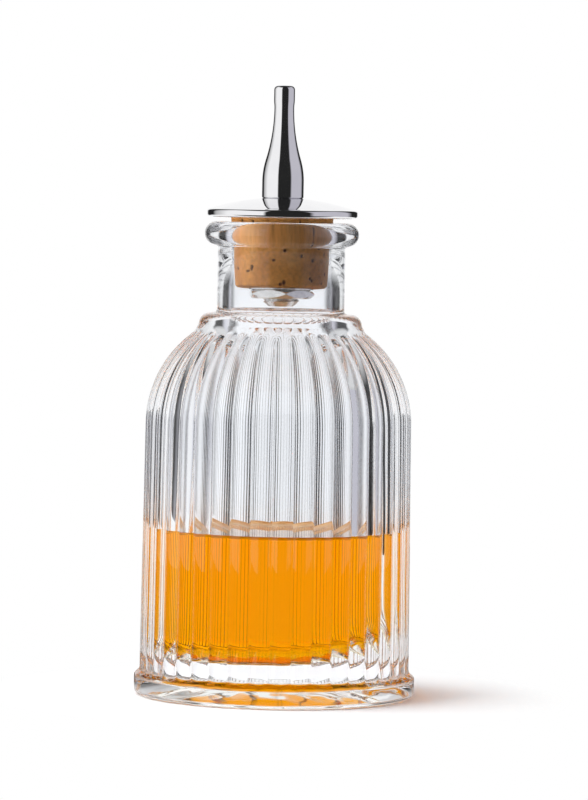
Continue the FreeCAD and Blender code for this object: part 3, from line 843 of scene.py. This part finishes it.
def hex_nut(look):
    """A thin nut whose corners are bevelled above and below."""
    half_side = math.pi / NUT_SIDES
    from_flat = (around(NUT_STEPS) - math.radians(NUT_ANGLE)) % (2 * half_side) - half_side
    outline = NUT_ACROSS / 2 / np.cos(from_flat)
    face = NUT_ACROSS / 2 - NUT_FACE_INSET
    outside = NUT_ACROSS / 2 / math.cos(half_side) + NUT_OUTSIDE_MORE
    bevel = NUT_BEVEL * (outline - face) / (outside - face)
    hole = STEM_HOLE_RADIUS
    rings = [
        ring(hole, nut_low.z + NUT_HOLE_BEVEL, NUT_STEPS),
        ring(hole + NUT_HOLE_BEVEL, nut_low.z, NUT_STEPS),
        ring(face, nut_low.z, NUT_STEPS),
        ring(outline, nut_low.z + bevel, NUT_STEPS),
        ring(outline, nut_high.z - bevel, NUT_STEPS),
        ring(face, nut_high.z, NUT_STEPS),
        ring(hole + NUT_HOLE_BEVEL, nut_high.z, NUT_STEPS),
        ring(hole, nut_high.z - NUT_HOLE_BEVEL, NUT_STEPS),
    ]
    piece = turned_mesh("hexagon_nut", rings, closed_ends=False)
    piece.data.set_sharp_from_angle(angle=math.radians(NUT_SHARP_ANGLE))
    place(piece, "nut", "hex_nut", look)


# Floor, in metres. Each fade starts and ends at a distance from the bottle's axis, or in front of it
STAGE_REACH = 0.42
STAGE_SIDES = 128
STAGE_DROP = 0.02 * MM
STAGE_FADE = (0.031, 0.062)
THROUGH_FADE = (0.032, 0.06)
FRONT_FADE = (0.03, 0.08)
GLASS_FRONT_FADE = (0.03, 0.042)
STAGE_COLOUR = grey(0.95)
STAGE_ROUGHNESS = 0.9


def floor_material():
    """A floor that is pale near the bottle and white further off.

    What glass mirrors of it is dark all round. What metal mirrors and dull surfaces gather is dark in front.
    """
    made, tree, shader = material("floor")
    inputs = {"Base Color": STAGE_COLOUR, "Roughness": STAGE_ROUGHNESS, "Specular IOR Level": 0.0}
    tree.feed(shader, inputs)
    where = tree.add("TexCoord", {}).outputs["Object"]
    away = tree.add("VectorMath", {0: where}, operation="LENGTH").outputs["Value"]
    ahead = tree.math("MULTIPLY", tree.add("SeparateXYZ", {"Vector": where}).outputs["Y"], -1.0)
    paths = tree.add("LightPath", {}).outputs
    glossy, through = paths["Is Glossy Ray"], paths["Is Transmission Ray"]

    direct = tree.math("MAXIMUM", paths["Is Camera Ray"], glossy)
    seen = tree.math("MULTIPLY", tree.rise(away, *STAGE_FADE), direct)
    seen_through = tree.math("MULTIPLY", tree.rise(away, *THROUGH_FADE), through)
    share = tree.math("MAXIMUM", seen, seen_through)
    white = tree.add("Emission", {"Color": WHITE, "Strength": 1.0}).outputs["Emission"]
    joined = tree.add("MixShader", {0: share, 1: shader.outputs["BSDF"], 2: white}).outputs["Shader"]

    mirrored = tree.math("MAXIMUM", tree.math("SUBTRACT", glossy, through), 0.0)
    in_glass = tree.math("MULTIPLY", paths["Is Singular Ray"], mirrored)
    by_glass = tree.math("MULTIPLY", tree.rise(away, *GLASS_FRONT_FADE), in_glass)
    dull = tree.math("MINIMUM", paths["Diffuse Depth"], 1.0)
    by_others = tree.math("MULTIPLY", tree.rise(ahead, *FRONT_FADE), tree.math("MAXIMUM", mirrored, dull))
    hidden = tree.math("MAXIMUM", by_glass, by_others)
    dark = tree.add("Emission", {"Color": DARK, "Strength": 1.0}).outputs["Emission"]
    shaded = tree.add("MixShader", {0: hidden, 1: joined, 2: dark})
    tree.feed(tree.nodes["Material Output"], {"Surface": shaded.outputs["Shader"]})
    return made


def stage_floor():
    """A round floor under the bottle."""
    angles = around(STAGE_SIDES)
    corners = [(STAGE_REACH * math.cos(a), STAGE_REACH * math.sin(a), -STAGE_DROP) for a in angles]
    mesh = bpy.data.meshes.new("floor")
    mesh.from_pydata(corners, [], [tuple(range(STAGE_SIDES))])
    mesh.materials.append(floor_material())
    floor = bpy.data.objects.new("floor", mesh)
    bpy.context.scene.collection.objects.link(floor)


# The studio round the bottle, by degrees from the camera's side: what metal and glass mirror,
# what glass lets through, and the light on dull surfaces
LAVENDER = (0.56, 0.55, 0.61, 1)
COOL_GREY = (0.7, 0.7, 0.76, 1)
MIRRORED = [
    (-180, WHITE), (-164, WHITE), (-157, DARK), (-133, DARK), (-124, grey(0.5)),
    (-95, WHITE), (-32, WHITE), (-27, DARK), (40, DARK), (48, LAVENDER), (115, LAVENDER),
    (130, DARK), (157, DARK), (164, WHITE), (180, WHITE),
]
SEEN_THROUGH = [
    (-180, WHITE), (-162, WHITE), (-154, DARK), (-135, DARK), (-125, COOL_GREY),
    (-95, WHITE), (-32, WHITE), (-25, grey(0.1)), (40, grey(0.1)), (48, LAVENDER), (115, LAVENDER),
    (128, DARK), (154, DARK), (162, WHITE), (180, WHITE),
]
LIT_BACK = grey(0.1)
LIT_FRONT = grey(0.02)
LIT_RIGHT = (0.08, 0.075, 0.095, 1)
LIT = [
    (-180, LIT_BACK), (-132, LIT_BACK), (-100, WHITE), (-50, WHITE), (-32, LIT_FRONT), (40, LIT_FRONT),
    (60, LIT_RIGHT), (120, LIT_RIGHT), (140, LIT_BACK), (180, LIT_BACK),
]
LIT_GAIN = 5.2
GLAZE_SHARE = 0.9  # brightness of what the glass mirrors, against what the metal mirrors
PALE = grey(0.7)  # the least that the glass lets through from above the low sectors
RAISED_SHARES = (0.2, 0.4)  # how much of a direction points up
OVERHEAD_SHARES = (0.7, 0.9)


def compass(stops):
    """Stops by degrees as stops by shares of a turn."""
    return [(degrees / FULL_CIRCLE + HALF_TURN_SHARE, colour) for degrees, colour in stops]


def studio_world():
    """White to the camera, with panels that each kind of surface sees in its own way."""
    world = bpy.data.worlds.new("studio")
    bpy.context.scene.world = world
    tree = Tree(world)
    towards = tree.add("TexCoord", {}).outputs["Generated"]
    parts = tree.add("SeparateXYZ", {"Vector": towards}).outputs
    to_front = tree.math("MULTIPLY", parts["Y"], -1.0)
    turn = tree.math("ARCTAN2", parts["X"], to_front)
    share = tree.math("MULTIPLY_ADD", turn, 1 / FULL_TURN, HALF_TURN_SHARE)
    overhead = tree.rise(parts["Z"], *OVERHEAD_SHARES)
    mirrored = tree.mix(overhead, tree.ramp(share, compass(MIRRORED)), DARK)
    glazed = tree.mix(GLAZE_SHARE, DARK, mirrored)
    low = tree.ramp(share, compass(SEEN_THROUGH))
    raised = tree.mix(tree.rise(parts["Z"], *RAISED_SHARES), DARK, PALE)
    through = tree.mix(overhead, tree.blend("LIGHTEN", low, raised), DARK)
    paths = tree.add("LightPath", {}).outputs
    colour = tree.mix(paths["Is Glossy Ray"], WHITE, mirrored)
    colour = tree.mix(paths["Is Singular Ray"], colour, glazed)
    colour = tree.mix(paths["Is Transmission Ray"], colour, through)
    colour = tree.mix(paths["Is Camera Ray"], colour, WHITE)
    dull = tree.math("MINIMUM", paths["Diffuse Depth"], 1.0)
    colour = tree.mix(dull, colour, tree.ramp(share, compass(LIT)))
    strength = tree.math("MULTIPLY_ADD", dull, LIT_GAIN - 1.0, 1.0)
    tree.feed(tree.nodes["Background"], {"Color": colour, "Strength": strength})


# Camera: lens and sensor in millimetres, as Blender has them, places in metres and angles in degrees
LENS = 211.0
SENSOR_WIDTH = 36.0
CAMERA_DISTANCE = 1.0
CAMERA_HEIGHT = 0.112
CAMERA_AZIMUTH = -2.25
CAMERA_ROLL = 1.05
AIM_ACROSS = 3.2 * MM
AIM_HEIGHT = 63.2 * MM


def photo_camera():
    """The photo's view: nearly level, a little from the left and slightly rolled."""
    camera = bpy.data.cameras.new("camera")
    camera.lens = LENS
    camera.sensor_width = SENSOR_WIDTH
    holder = bpy.data.objects.new("camera", camera)
    bpy.context.scene.collection.objects.link(holder)
    azimuth = math.radians(CAMERA_AZIMUTH)
    right = Vector((math.cos(azimuth), math.sin(azimuth), 0))
    back = Vector((math.sin(azimuth), -math.cos(azimuth), 0))
    stand = back * CAMERA_DISTANCE + Vector((0, 0, CAMERA_HEIGHT))
    aim = right * AIM_ACROSS + Vector((0, 0, AIM_HEIGHT))
    turn = (aim - stand).to_track_quat("-Z", "Y").to_matrix().to_4x4()
    roll = Matrix.Rotation(math.radians(CAMERA_ROLL), 4, "Z")
    holder.matrix_world = Matrix.Translation(stand) @ turn @ roll
    bpy.context.scene.camera = holder


# How often light may turn in the glass
MOST_BOUNCES = 32
MOST_BOUNCES_THROUGH = 24
MOST_BOUNCES_MIRRORED = 12


def render_settings():
    scene = bpy.context.scene
    scene.view_settings.view_transform = "Standard"
    scene.cycles.max_bounces = MOST_BOUNCES
    scene.cycles.transmission_bounces = MOST_BOUNCES_THROUGH
    scene.cycles.glossy_bounces = MOST_BOUNCES_MIRRORED


glass_bottle()
bitters_liquid()
cork_stopper()
polished = polished_metal_material()
cap_disc(polished)
dasher_spout(polished)
plated = stem_metal_material()
hollow_stem(plated)
stem_washer(plated)
hex_nut(plated)
stage_floor()
studio_world()
photo_camera()
render_settings()
